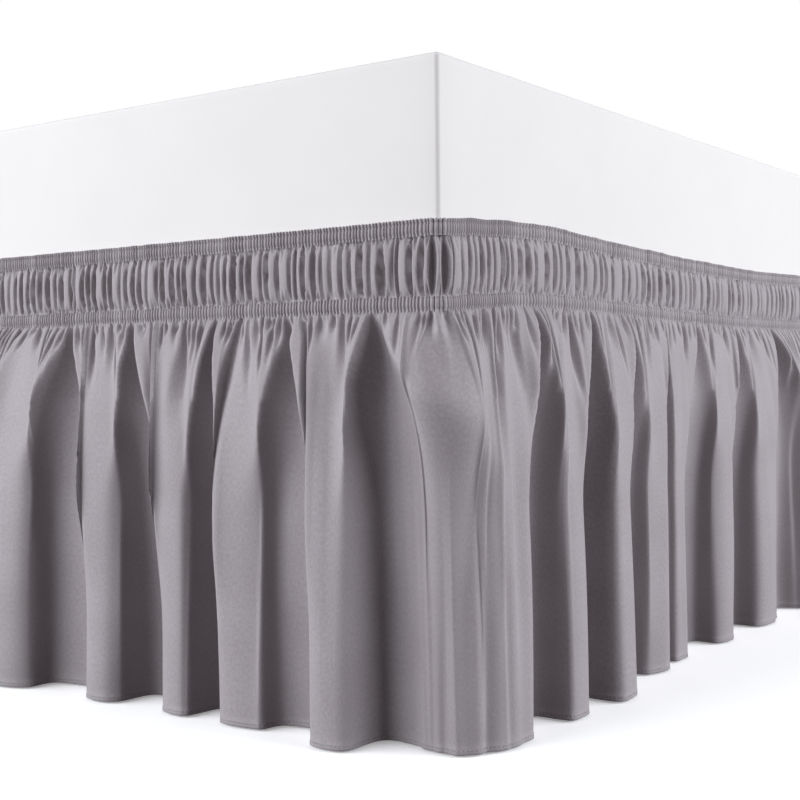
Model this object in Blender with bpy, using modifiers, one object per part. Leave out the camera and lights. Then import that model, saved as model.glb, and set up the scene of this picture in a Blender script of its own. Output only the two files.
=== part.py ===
"""Gathered bed skirt held round a single mattress by two rows of elastic, on a plain bed base.

Metres, +Z up. The origin is on the floor under the middle of the bed, +Y runs from the foot end to
the head end, and +X is to the right of someone who looks from the foot end to the head end.

The skirt is one closed strip of cloth. Its place along the bed is a distance round the mattress,
counted anticlockwise from the corner at the foot end on the +X side, where the cloth was studied.
"""

import math
from typing import NamedTuple

import bmesh
import bpy
import numpy as np

# Mattress and bed base
MATTRESS_WIDTH = 0.990
MATTRESS_LENGTH = 1.905
MATTRESS_HEIGHT = 0.250
MATTRESS_TOP = 0.600
MATTRESS_CORNER = 0.008
DECK_INSET = 0.035
DECK_THICKNESS = 0.018
RAIL_HEIGHT = 0.070
RAIL_WIDTH = 0.045
RAIL_INSET = 0.055
LEG_RADIUS = 0.026
LEG_SIDES = 24
LEG_INSET = 0.075
END_RAIL_FROM_END = 0.110
EDGE_BEVEL = 0.003
SEAT_GAP = 0.0003

# Skirt: a heading of 3 inches between the elastics, and a drop of 15 inches below it
HEADING = 0.076
DROP = 0.381
TOP_BAND = 0.014
LOWER_BAND = 0.012
CLOTH_THICKNESS = 0.002
BAND_STAND_OFF = 0.0015
HEM_CLEARANCE = 0.003

# Folds that the table doesn't list, on the sides that weren't studied
USUAL_PITCH = 0.116
USUAL_CREST = 0.052
USUAL_VALLEY = 0.000
CREST_SPREAD = 0.008
VALLEY_SPREAD = 0.009
PITCH_SPREAD = 0.14
USUAL_STEEPNESS = 0.66
STEEPNESS_SPREAD = 0.14
TURN = math.radians(137.5)
VALLEY_BEFORE_CORNER = 0.020
COLUMNS_PER_FLANK = 3
CORNER_COLUMNS = 5
CLOSEST_COLUMNS = 0.004


class Fold(NamedTuple):
    """One deep fold at the hem: its crest, then the valley that follows it round the bed."""

    crest_at: float
    crest_out: float
    valley_at: float
    valley_out: float
    steepness: float


class Section(NamedTuple):
    """One level of the cloth: how far it stands off the mattress, and how much of each fold it shows."""

    name: str
    height: float
    stand_off: float
    outward_share: float
    inward_share: float
    gather: float
    wave_share: float


class Wave(NamedTuple):
    """How far the elastic rides above or below its usual height at one place."""

    at: float
    rise: float


# Millimetres. Distances along the bed run from the studied corner: the foot end is negative.
# Steepness is the share of the flank's width that each end of it keeps level.
FOLDS_MM = [
    Fold(-510, 52, -445, 2, 0.62),
    Fold(-393, 50, -335, -8, 0.85),
    Fold(-284, 54, -243, 0, 0.95),
    Fold(-190, 62, -135, 18, 0.60),
    Fold(-100, 60, -20, 4, 0.50),
    Fold(38, 52, 108, 8, 0.62),
    Fold(176, 54, 238, 6, 0.66),
    Fold(289, 52, 346, 6, 0.80),
    Fold(391, 40, 444, -2, 0.70),
    Fold(484, 18, 545, -18, 0.66),
    Fold(612, 24, 690, -14, 0.62),
    Fold(742, 30, 800, -4, 0.66),
]

# Millimetres. The elastic is level on the foot end and rides up, then down, along the +X side.
WAVES_MM = [
    Wave(-120, 0.0),
    Wave(0, -1.5),
    Wave(90, 4.5),
    Wave(180, 7.0),
    Wave(270, 4.5),
    Wave(400, 0.5),
    Wave(520, -3.0),
    Wave(690, -4.5),
    Wave(1000, 0.0),
]

SKIRT_TOP = DROP + HEADING
MATTRESS_BOTTOM = MATTRESS_TOP - MATTRESS_HEIGHT

SECTIONS = [
    Section("hem", HEM_CLEARANCE, 0.004, 1.00, 1.00, 0.000, 0.0),
    Section("low drop", 0.130, 0.006, 0.92, 0.80, 0.000, 0.3),
    Section("mid drop", 0.250, 0.008, 0.68, 0.35, 0.001, 0.7),
    Section("under the gathers", 0.342, 0.0085, 0.30, 0.00, 0.004, 0.9),
    Section("lower elastic, bottom", DROP, BAND_STAND_OFF, 0.0, 0.0, 0.000, 1.0),
    Section("lower elastic, top", DROP + LOWER_BAND, BAND_STAND_OFF, 0.0, 0.0, 0.000, 1.0),
    Section("heading", DROP + 0.5 * (HEADING + LOWER_BAND - TOP_BAND), 0.0060, 0.0, 0.0, 0.0035, 1.0),
    Section("top elastic, bottom", SKIRT_TOP - TOP_BAND, BAND_STAND_OFF, 0.0, 0.0, 0.000, 1.0),
    Section("top elastic, top", SKIRT_TOP, BAND_STAND_OFF, 0.0, 0.0, 0.000, 1.0),
]


def side_lengths():
    """Lengths of the straight stretches of the mattress's outline, anticlockwise from the studied corner."""
    straight_long = MATTRESS_LENGTH - 2 * MATTRESS_CORNER
    straight_short = MATTRESS_WIDTH - 2 * MATTRESS_CORNER
    return [straight_long, straight_short, straight_long, straight_short]


def corner_arc():
    """Length of the mattress's outline round one corner."""
    return MATTRESS_CORNER * math.pi / 2


def girth():
    """Length of the mattress's whole outline."""
    return sum(side_lengths()) + 4 * corner_arc()


def corner_places():
    """The place of the middle of each corner, as a distance round the mattress."""
    places = [0.0]
    for length in side_lengths()[:-1]:
        places.append(places[-1] + length + corner_arc())
    return places


def outline_point(place):
    """The point of the mattress's outline at a distance round it, and the outward direction there."""
    half_x = MATTRESS_WIDTH / 2 - MATTRESS_CORNER
    half_y = MATTRESS_LENGTH / 2 - MATTRESS_CORNER
    centres = [(half_x, -half_y), (half_x, half_y), (-half_x, half_y), (-half_x, -half_y)]
    arc = corner_arc()
    left = (place + arc / 2) % girth()
    for corner, length in enumerate(side_lengths()):
        start = (corner - 1) * math.pi / 2
        centre = np.array(centres[corner])
        if left <= arc:
            angle = start + left / MATTRESS_CORNER
            outward = np.array([math.cos(angle), math.sin(angle)])
            return centre + MATTRESS_CORNER * outward, outward
        left -= arc
        if left <= length:
            angle = start + math.pi / 2
            outward = np.array([math.cos(angle), math.sin(angle)])
            along = np.array([-outward[1], outward[0]])
            return centre + MATTRESS_CORNER * outward + left * along, outward
        left -= length
    return outline_point(0.0)


def filled_folds(valley_from, valley_to, turn_from):
    """Evenly uneven folds between two valleys, on a side that the table doesn't list."""
    count = max(1, round((valley_to - valley_from) / USUAL_PITCH))
    pitch = (valley_to - valley_from) / count
    folds = []
    for i in range(count):
        turn = TURN * (turn_from + i)
        folds.append(
            Fold(
                valley_from + pitch * (i + 0.48 + PITCH_SPREAD * math.sin(turn)),
                USUAL_CREST + CREST_SPREAD * math.cos(turn),
                valley_from + pitch * (i + 1 + PITCH_SPREAD * math.sin(turn + 1)),
                USUAL_VALLEY + VALLEY_SPREAD * math.sin(1.7 * turn),
                USUAL_STEEPNESS + STEEPNESS_SPREAD * math.cos(2.3 * turn),
            )
        )
    folds[-1] = folds[-1]._replace(valley_at=valley_to)
    return folds


def all_folds():
    """Every fold round the bed in order, in metres, the listed ones first."""
    listed = [
        Fold(*(size / 1000 for size in fold[:4]), fold.steepness) for fold in FOLDS_MM
    ]
    folds = list(listed)
    end = listed[0].crest_at + girth() - 0.5 * USUAL_PITCH
    stops = [place - VALLEY_BEFORE_CORNER for place in corner_places()[1:]] + [end]
    start = listed[-1].valley_at
    for stop in stops:
        folds += filled_folds(start, stop, len(folds))
        start = stop
    return folds


def fold_stations(folds):
    """Crests and valleys in order as (place, out, steepness), closed round the bed."""
    stations = []
    for fold in folds:
        stations.append((fold.crest_at, fold.crest_out, fold.steepness))
        stations.append((fold.valley_at, fold.valley_out, fold.steepness))
    first = stations[0]
    stations.append((first[0] + girth(), first[1], first[2]))
    return stations


def fold_at(place, stations):
    """The sideways and outward shift of the hem at a place round the bed.

    Each flank between a crest and a valley is a cubic curve that leaves both ends level.
    """
    starts = [station[0] for station in stations]
    index = int(np.clip(np.searchsorted(starts, place, side="right") - 1, 0, len(stations) - 2))
    (start, out_from, steepness), (end, out_to, _) = stations[index], stations[index + 1]
    t = (place - start) / (end - start)
    level = 3 * t**2 - 2 * t**3
    along = (
        3 * steepness * t * (1 - t) ** 2
        + 3 * (1 - steepness) * t**2 * (1 - t)
        + t**3
    )
    return (along - t) * (end - start), out_from + (out_to - out_from) * level


def columns(stations):
    """Where the cloth's columns stand, as (place, puff).

    They are on each crest and valley, between them, and closely round the corners. The puff of the
    gathers turns out and in from one column to the next, and is none where the corner pulls them flat.
    """
    corners = []
    for middle in corner_places():
        steps = np.linspace(-0.5, 0.5, CORNER_COLUMNS)
        corners += [middle + step * corner_arc() for step in steps]
    found = [(place, 0) for place in corners]
    puff = 1
    for (start, *_), (end, *_) in zip(stations, stations[1:]):
        for step in range(COLUMNS_PER_FLANK):
            place = start + (end - start) * step / COLUMNS_PER_FLANK
            if min(abs(place - corner) for corner in corners) > CLOSEST_COLUMNS:
                found.append((place, puff))
                puff = -puff
    return sorted(found)


def wave_at(place):
    """How far the elastic rides up at a place round the bed."""
    middle = girth() / 2
    wrapped = place - girth() if place > middle else place
    places = [wave.at / 1000 for wave in WAVES_MM]
    rises = [wave.rise / 1000 for wave in WAVES_MM]
    return float(np.interp(wrapped, places, rises))


def cloth_point(place, puff, section, stations):
    """The middle of the cloth at one column and one section."""
    sideways, out = fold_at(place, stations)
    share = section.outward_share if out > 0 else section.inward_share
    stand_off = section.stand_off + share * out + section.gather * puff
    base, outward = outline_point(place + section.outward_share * sideways)
    x, y = base + stand_off * outward
    return x, y, section.height + section.wave_share * wave_at(place)


def new_material(name, colour, roughness):
    """A plain dielectric material."""
    material = bpy.data.materials.new(name)
    material.use_nodes = True
    shader = material.node_tree.nodes["Principled BSDF"]
    shader.inputs["Base Color"].default_value = (*colour, 1.0)
    shader.inputs["Roughness"].default_value = roughness
    shader.inputs["Metallic"].default_value = 0.0
    material.diffuse_color = (*colour, 1.0)
    return material


def new_object(name, mesh, material, collection):
    """An object for a mesh, with its material, in the bed's collection."""
    mesh.materials.append(material)
    item = bpy.data.objects.new(name, mesh)
    collection.objects.link(item)
    return item


def skirt(collection, material):
    """The skirt: a closed loft through its sections, thickened to the cloth."""
    stations = fold_stations(all_folds())
    stands = columns(stations)
    sheet = bmesh.new()
    rings = []
    for section in SECTIONS:
        points = [cloth_point(place, puff, section, stations) for place, puff in stands]
        rings.append([sheet.verts.new(point) for point in points])
    count = len(stands)
    for lower, upper in zip(rings, rings[1:]):
        for i in range(count):
            following = (i + 1) % count
            sheet.faces.new((lower[i], lower[following], upper[following], upper[i]))
    mesh = bpy.data.meshes.new("skirt")
    sheet.to_mesh(mesh)
    sheet.free()
    mesh.shade_smooth()
    item = new_object("skirt", mesh, material, collection)
    thickness = item.modifiers.new("cloth", "SOLIDIFY")
    thickness.thickness = CLOTH_THICKNESS
    thickness.offset = 0.0
    return item


def rounded_block(name, size, centre, bevel, segments, material, collection):
    """A block with its edges rounded."""
    bpy.ops.mesh.primitive_cube_add(size=1.0)
    item = bpy.context.active_object
    item.name = name
    item.data.name = name
    item.data.transform(np.diag([*size, 1.0]).tolist())
    item.location = centre
    item.data.materials.append(material)
    rounding = item.modifiers.new("edges", "BEVEL")
    rounding.width = bevel
    rounding.segments = segments
    move_to(item, collection)
    return item


def move_to(item, collection):
    """Takes an object out of the scene's own collection and puts it in the bed's."""
    for holder in list(item.users_collection):
        holder.objects.unlink(item)
    collection.objects.link(item)


def mattress(collection, material):
    """The mattress that the elastic grips, a plain block with softened edges."""
    size = (MATTRESS_WIDTH, MATTRESS_LENGTH, MATTRESS_HEIGHT)
    centre = (0.0, 0.0, MATTRESS_TOP - MATTRESS_HEIGHT / 2)
    item = rounded_block("mattress", size, centre, MATTRESS_CORNER, 3, material, collection)
    item.data.shade_smooth()
    return item


def deck_height():
    """Height of the middle of the deck board under the mattress."""
    return MATTRESS_BOTTOM - SEAT_GAP - DECK_THICKNESS / 2


def rail_height():
    """Height of the middle of the cross rails under the deck."""
    return deck_height() - DECK_THICKNESS / 2 - SEAT_GAP - RAIL_HEIGHT / 2


def leg_length():
    """Length of a leg, from the floor to just under its rail."""
    return rail_height() - RAIL_HEIGHT / 2 - SEAT_GAP


def deck(collection, material):
    """The board that carries the mattress."""
    size = (
        MATTRESS_WIDTH - 2 * DECK_INSET,
        MATTRESS_LENGTH - 2 * DECK_INSET,
        DECK_THICKNESS,
    )
    return rounded_block("deck", size, (0, 0, deck_height()), EDGE_BEVEL, 1, material, collection)


def rail_places():
    """The name of each cross rail and its place along the bed."""
    end = MATTRESS_LENGTH / 2 - END_RAIL_FROM_END
    return {"foot": -end, "middle": 0.0, "head": end}


def rails(collection, material):
    """Three rails across the bed under the deck."""
    size = (MATTRESS_WIDTH - 2 * RAIL_INSET, RAIL_WIDTH, RAIL_HEIGHT)
    for name, y in rail_places().items():
        centre = (0.0, y, rail_height())
        rounded_block(f"rail_{name}", size, centre, EDGE_BEVEL, 1, material, collection)


def legs(collection, material):
    """A turned leg under each end of each rail."""
    offset = MATTRESS_WIDTH / 2 - LEG_INSET - LEG_RADIUS
    for name, y in rail_places().items():
        for side, x in {"left": -offset, "right": offset}.items():
            bpy.ops.mesh.primitive_cylinder_add(
                vertices=LEG_SIDES, radius=LEG_RADIUS, depth=leg_length()
            )
            item = bpy.context.active_object
            item.name = f"leg_{name}_{side}"
            item.data.name = item.name
            item.location = (x, y, leg_length() / 2)
            item.data.materials.append(material)
            item.data.shade_smooth()
            item.data.set_sharp_from_angle(angle=math.radians(40))
            move_to(item, collection)


def main():
    """Clears the scene and builds the bed with its skirt."""
    for item in list(bpy.data.objects):
        bpy.data.objects.remove(item)
    collection = bpy.data.collections.new("bed_skirt")
    bpy.context.scene.collection.children.link(collection)
    cloth = new_material("brushed_microfibre", (0.301, 0.279, 0.296), 0.62)
    cover = new_material("mattress_cover", (0.84, 0.84, 0.86), 0.80)
    timber = new_material("pine", (0.62, 0.45, 0.27), 0.60)
    mattress(collection, cover)
    deck(collection, timber)
    rails(collection, timber)
    legs(collection, timber)
    skirt(collection, cloth)


if __name__ == "__main__":
    main()
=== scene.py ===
"""Looks of a gathered bed skirt on a single bed.

The skirt is one strip of grey brushed microfibre, shirred on two rows of elastic. Its place along the
bed is a distance round the mattress, counted anticlockwise from the corner at the foot end on the +X
side, where the cloth was studied. Sizes are metres unless a name ends in _mm.
"""

import logging
import math
from dataclasses import dataclass, field
from enum import Enum
from typing import NamedTuple, Sequence

import bmesh
import bpy
import numpy as np
from mathutils import Matrix, Vector


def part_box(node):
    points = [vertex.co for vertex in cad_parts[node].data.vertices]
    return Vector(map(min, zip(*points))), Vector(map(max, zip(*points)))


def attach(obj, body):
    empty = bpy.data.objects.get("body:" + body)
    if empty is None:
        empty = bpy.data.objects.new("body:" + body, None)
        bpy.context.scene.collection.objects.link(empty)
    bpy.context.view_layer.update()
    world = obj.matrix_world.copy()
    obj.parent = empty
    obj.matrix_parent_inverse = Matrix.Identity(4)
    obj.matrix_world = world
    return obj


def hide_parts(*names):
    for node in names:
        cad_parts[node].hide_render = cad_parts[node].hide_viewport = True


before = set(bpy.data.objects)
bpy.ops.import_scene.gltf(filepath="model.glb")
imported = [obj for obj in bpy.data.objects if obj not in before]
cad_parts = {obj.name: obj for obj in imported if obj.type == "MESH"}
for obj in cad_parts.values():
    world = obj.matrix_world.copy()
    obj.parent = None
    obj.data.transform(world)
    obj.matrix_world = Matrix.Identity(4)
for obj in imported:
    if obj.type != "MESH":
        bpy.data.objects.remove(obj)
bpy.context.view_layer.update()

log = logging.getLogger("bed_skirt")
MM = 0.001
# Where a band meets the heading or the drop, both stand this far out and show this share of the ribs.
JOINT_OUT_MM = 0.2
JOINT_RIBS = 0.9
# The wave texture runs through this many radians in a unit, and a light or dark band is half a turn.
WAVE_RADIANS = 20


class Slot(Enum):
    """The record's material slot names. The pieces built here don't use them."""

    CLOTH = "skirt_cloth"
    COVER = "mattress_cover"


class Fold(NamedTuple):
    """One deep fold: its crest at the hem, then the valley after it, at the hem and at the elastic.

    Rise and fall are the steepness of the crest's two flanks: the share of a flank that each end keeps
    level. A crest without a crest_top meets the elastic where its two valleys put it.
    """

    crest_at: float
    crest_out: float
    valley_at: float
    valley_out: float
    valley_top: float
    rise: float
    fall: float
    crest_top: float | None = None

    def in_metres(self) -> "Fold":
        """The same fold, its sizes turned from millimetres to metres."""
        crest_top = None if self.crest_top is None else self.crest_top * MM
        return Fold(*(size * MM for size in self[:5]), self.rise, self.fall, crest_top)


class Pleat(NamedTuple):
    """A narrow valley, or a ridge when its depth is below 0, from the lower elastic down.

    Its lap is 0 when both sides are alike. At 1 its far side drops at once and at -1 its near side does,
    as where one fold of cloth lies over the next.
    """

    at: float
    length: float
    depth: float
    half_width: float
    lean: float
    lap: float = 0.0

    def in_metres(self) -> "Pleat":
        """The same pleat, its sizes turned from millimetres to metres."""
        return Pleat(*(size * MM for size in self[:5]), self.lap)


class BandRow(NamedTuple):
    """One row along a shirred band: how far below its top, how far out, and its share of the ribs."""

    below: float
    out: float
    ribs: float
    scallop: float = 0.0


class HemRow(NamedTuple):
    """One row of the hem, in millimetres: how far below its top, how far out, and how much it ripples."""

    below: float
    out: float
    ripple: float


class Wave(NamedTuple):
    """How far the cloth rides above its usual height at one place, at its top and at the lower elastic."""

    at: float
    top: float
    lower: float


# Millimetres. Distances along the bed run from the studied corner: the foot end is negative.
FOLDS_MM: list[Fold] = [
    Fold(-533, 62, -426, 12, -464, 1.05, 1.00),
    Fold(-376, 46, -330, -4, -373, 1.16, 0.90),
    Fold(-268, 42, -243, -6, -254, 1.12, 0.70),
    Fold(-204, 42, -128, 12, -165, 1.14, 0.90),
    Fold(-77, 55, -42, 2, -67, 1.10, 1.04),
    Fold(56, 43, 110, 0, 146, 0.60, 0.62, 98),
    Fold(159, 45, 205, -6, 262, 1.00, 0.74),
    Fold(240, 50, 314, -6, 339, 1.05, 0.84),
    Fold(374, 26, 414, 12, 436, 0.90, 0.90),
    Fold(430, 19, 510, -15, 529, 0.90, 0.58),
    Fold(570, 22, 636, -15, 647, 1.05, 0.60),
    Fold(694, 25, 800, -4, 770, 1.05, 0.70),
]

# Millimetres. The longer pleats under the lower elastic, and how far each leans by its end.
PLEATS_MM: list[Pleat] = [
    Pleat(-436, 900, -6, 15, -14, 0.8),
    Pleat(-403, 62, 7, 7, -8),
    Pleat(-382, 46, 6, 6, -2),
    Pleat(-334, 1100, -6, 14, 0, 0.8),
    Pleat(-296, 125, 8, 8, -10),
    Pleat(-281, 60, 6, 6, -4),
    Pleat(-268, 60, 6, 6, -10),
    Pleat(-222, 150, 8, 9, -10),
    Pleat(-203, 40, 5, 5, 4),
    Pleat(-143, 240, 6, 8, 0),
    Pleat(-120, 32, 5, 5, -4),
    Pleat(-99, 110, 7, 9, -12),
    Pleat(-51, 36, 5, 6, 0),
    Pleat(-37, 60, 4, 4, 0),
    Pleat(-27, 600, -3, 7, 0),
    Pleat(-14, 42, 5, 5, 0),
    Pleat(2, 92, 7, 6, 2),
    Pleat(20, 26, 4, 5, 0),
    Pleat(38, 42, 5, 5, 2),
    Pleat(62, 700, -4, 10, 12, 0.5),
    Pleat(74, 190, 9, 8, 4),
    Pleat(103, 95, 7, 7, 6),
    Pleat(128, 60, 5, 5, 4),
    Pleat(187, 42, 6, 5, 8),
    Pleat(212, 110, 9, 7, 14),
    Pleat(190, 900, -4, 10, -8, -0.8),
    Pleat(285, 900, -4, 11, -6, -0.8),
    Pleat(298, 50, 6, 6, 0),
    Pleat(362, 90, 8, 9, 4),
    Pleat(395, 30, 6, 5, 6),
    Pleat(490, 60, 8, 7, -6),
    Pleat(560, 70, 6, 7, 2),
    Pleat(608, 48, 6, 6, 0),
    Pleat(624, 900, -4, 12, -4, -0.8),
    Pleat(690, 80, 7, 8, 0),
]

# Millimetres. The elastic is level on the foot end and rides up, then down, along the +X side.
WAVES_MM: list[Wave] = [
    Wave(-500, -1.0, -1.5),
    Wave(-120, -1.0, -2.0),
    Wave(0, -0.5, -3.0),
    Wave(50, 3.0, 1.0),
    Wave(110, 6.0, 5.0),
    Wave(180, 7.4, 6.0),
    Wave(260, 4.0, 5.5),
    Wave(330, 1.5, 4.0),
    Wave(400, 0.0, 2.0),
    Wave(500, -3.0, 0.0),
    Wave(690, -5.0, -2.0),
    Wave(1000, 0.0, 0.0),
]


def smooth(t: np.ndarray | float) -> np.ndarray | float:
    """Eases from 0 to 1, level at both ends, and stays there outside them."""
    t = np.clip(t, 0.0, 1.0)
    return t * t * (3 - 2 * t)


def outward_of(along: np.ndarray) -> np.ndarray:
    """Level directions out from the bed, square to directions along it."""
    along = along[:, :2] / np.linalg.norm(along[:, :2], axis=1, keepdims=True)
    return np.stack([along[:, 1], -along[:, 0], np.zeros(len(along))], axis=-1)


def add_object(name: str, data: bpy.types.ID) -> bpy.types.Object:
    """Adds an object to the scene.

    Args:
        name: Its name.
        data: Its mesh, light or camera.

    Returns:
        The new object.
    """
    added = bpy.data.objects.new(name, data)
    bpy.context.scene.collection.objects.link(added)
    return added


def linear(code: str) -> tuple[float, float, float, float]:
    """Turns an sRGB hex colour into linear RGBA."""
    parts = [int(code[i : i + 2], 16) / 255 for i in (1, 3, 5)]
    levels = [c / 12.92 if c <= 0.04045 else ((c + 0.055) / 1.055) ** 2.4 for c in parts]
    return (*levels, 1.0)


def add_node(
    tree: bpy.types.NodeTree,
    kind: str,
    settings: dict[str, object] | None = None,
    inputs: dict[str | int, object] | None = None,
) -> bpy.types.Node:
    """Adds a node.

    Args:
        tree: The node tree that gets it.
        kind: The node's type name.
        settings: Attributes of the node.
        inputs: Input sockets by name or number, each a plain value or a socket to link from.

    Returns:
        The new node.
    """
    node = tree.nodes.new(kind)
    for name, value in (settings or {}).items():
        setattr(node, name, value)
    for name, value in (inputs or {}).items():
        if isinstance(value, bpy.types.NodeSocket):
            tree.links.new(value, node.inputs[name])
        else:
            node.inputs[name].default_value = value
    return node


def new_material(name: str) -> tuple[bpy.types.Material, bpy.types.NodeTree, bpy.types.Node]:
    """Makes an empty material.

    Args:
        name: The material's name.

    Returns:
        The material, its node tree and its shader.
    """
    material = bpy.data.materials.new(name)
    material.use_nodes = True
    tree = material.node_tree
    return material, tree, tree.nodes["Principled BSDF"]


@dataclass(frozen=True)
class BrushedMicrofibre:
    """Woven polyester microfibre, brushed on its face: soft grey, with a faint cool sheen and mottle."""

    name: str = "brushed_microfibre"
    shade: str = "#8a8285"
    light: str = "#a29b9f"
    twill_mm: float = 0.5
    # The yarn's mottle is about half a millimetre and is drawn at this size, or it wouldn't show.
    mottle_mm: float = 1.6
    patch_mm: float = 60.0
    roughness: float = 0.68
    specular: float = 0.36
    sheen: float = 0.3
    sheen_roughness: float = 0.45
    sheen_tint: str = "#e6eaf2"
    ior: float = 1.5
    bump: float = 0.35
    bump_mm: float = 0.25

    def build(self) -> bpy.types.Material:
        """Builds the material.

        Returns:
            The finished material.
        """
        material, tree, shader = new_material(self.name)
        place = add_node(tree, "ShaderNodeUVMap", {"uv_map": "cloth"})
        upright = add_node(
            tree, "ShaderNodeMapping", inputs={"Vector": place.outputs["UV"], "Scale": (1.0, 0.45, 1.0)}
        )
        mottle = add_node(
            tree,
            "ShaderNodeTexNoise",
            inputs={
                "Vector": upright.outputs["Vector"],
                "Scale": 1 / (self.mottle_mm * MM),
                "Detail": 3.0,
                "Roughness": 0.6,
            },
        )
        patches = add_node(
            tree,
            "ShaderNodeTexNoise",
            inputs={"Vector": place.outputs["UV"], "Scale": 1 / (self.patch_mm * MM), "Detail": 1.0},
        )
        turned = add_node(
            tree,
            "ShaderNodeMapping",
            inputs={"Vector": place.outputs["UV"], "Rotation": (0.0, 0.0, math.radians(27))},
        )
        twill = add_node(
            tree,
            "ShaderNodeTexWave",
            {"wave_type": "BANDS", "bands_direction": "X"},
            {
                "Vector": turned.outputs["Vector"],
                "Scale": 1 / (self.twill_mm * MM) / WAVE_RADIANS * math.pi,
                "Distortion": 0.6,
                "Detail": 1.0,
            },
        )
        blend = add_node(
            tree,
            "ShaderNodeMath",
            {"operation": "MULTIPLY_ADD"},
            {0: patches.outputs["Fac"], 1: 0.35, 2: mottle.outputs["Fac"]},
        )
        share = add_node(
            tree,
            "ShaderNodeMapRange",
            inputs={"Value": blend.outputs[0], "From Min": 0.35, "From Max": 0.98},
        )
        colour = add_node(
            tree,
            "ShaderNodeMix",
            {"data_type": "RGBA"},
            {"Factor": share.outputs["Result"], "A": linear(self.shade), "B": linear(self.light)},
        )
        tree.links.new(colour.outputs["Result"], shader.inputs["Base Color"])
        relief = add_node(
            tree,
            "ShaderNodeMath",
            {"operation": "MULTIPLY_ADD"},
            {0: twill.outputs["Fac"], 1: 0.5, 2: mottle.outputs["Fac"]},
        )
        bump = add_node(
            tree,
            "ShaderNodeBump",
            inputs={"Height": relief.outputs[0], "Strength": self.bump, "Distance": self.bump_mm * MM},
        )
        tree.links.new(bump.outputs["Normal"], shader.inputs["Normal"])
        gloss = add_node(
            tree,
            "ShaderNodeMapRange",
            inputs={
                "Value": mottle.outputs["Fac"],
                "To Min": self.roughness - 0.06,
                "To Max": self.roughness + 0.06,
            },
        )
        tree.links.new(gloss.outputs["Result"], shader.inputs["Roughness"])
        shader.inputs["IOR"].default_value = self.ior
        shader.inputs["Specular IOR Level"].default_value = self.specular
        shader.inputs["Sheen Weight"].default_value = self.sheen
        shader.inputs["Sheen Roughness"].default_value = self.sheen_roughness
        shader.inputs["Sheen Tint"].default_value = linear(self.sheen_tint)
        return material


@dataclass(frozen=True)
class BleachedCover:
    """Bleached plain-woven polyester cover: a smooth cool white that shows only the faintest threads."""

    name: str = "bleached_cover"
    shade: str = "#d6d2d1"
    light: str = "#dcd8d7"
    thread_mm: float = 0.6
    patch_mm: float = 90.0
    roughness: float = 0.75
    sheen: float = 0.1
    bump: float = 0.2
    bump_mm: float = 0.2

    def build(self) -> bpy.types.Material:
        """Builds the material.

        Returns:
            The finished material.
        """
        material, tree, shader = new_material(self.name)
        place = add_node(tree, "ShaderNodeTexCoord")
        patches = add_node(
            tree,
            "ShaderNodeTexNoise",
            inputs={"Vector": place.outputs["Object"], "Scale": 1 / (self.patch_mm * MM), "Detail": 3.0},
        )
        colour = add_node(
            tree,
            "ShaderNodeMix",
            {"data_type": "RGBA"},
            {"Factor": patches.outputs["Fac"], "A": linear(self.shade), "B": linear(self.light)},
        )
        tree.links.new(colour.outputs["Result"], shader.inputs["Base Color"])
        threads = add_node(
            tree,
            "ShaderNodeTexNoise",
            inputs={
                "Vector": place.outputs["Object"],
                "Scale": 1 / (self.thread_mm * MM),
                "Detail": 2.0,
            },
        )
        bump = add_node(
            tree,
            "ShaderNodeBump",
            inputs={"Height": threads.outputs["Fac"], "Strength": self.bump, "Distance": self.bump_mm * MM},
        )
        tree.links.new(bump.outputs["Normal"], shader.inputs["Normal"])
        shader.inputs["Roughness"].default_value = self.roughness
        shader.inputs["Sheen Weight"].default_value = self.sheen
        return material


@dataclass(frozen=True)
class SpunThread:
    """Spun polyester sewing thread: a shade lighter than the cloth, with a soft twist."""

    name: str = "spun_thread"
    shade: str = "#a39da2"
    light: str = "#bdb7bc"
    twist_mm: float = 0.5
    roughness: float = 0.5
    sheen: float = 0.2

    def build(self) -> bpy.types.Material:
        """Builds the material.

        Returns:
            The finished material.
        """
        material, tree, shader = new_material(self.name)
        place = add_node(tree, "ShaderNodeTexCoord")
        twist = add_node(
            tree,
            "ShaderNodeTexNoise",
            inputs={"Vector": place.outputs["Object"], "Scale": 1 / (self.twist_mm * MM), "Detail": 1.0},
        )
        colour = add_node(
            tree,
            "ShaderNodeMix",
            {"data_type": "RGBA"},
            {"Factor": twist.outputs["Fac"], "A": linear(self.shade), "B": linear(self.light)},
        )
        tree.links.new(colour.outputs["Result"], shader.inputs["Base Color"])
        shader.inputs["Roughness"].default_value = self.roughness
        shader.inputs["Sheen Weight"].default_value = self.sheen
        return material


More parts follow.
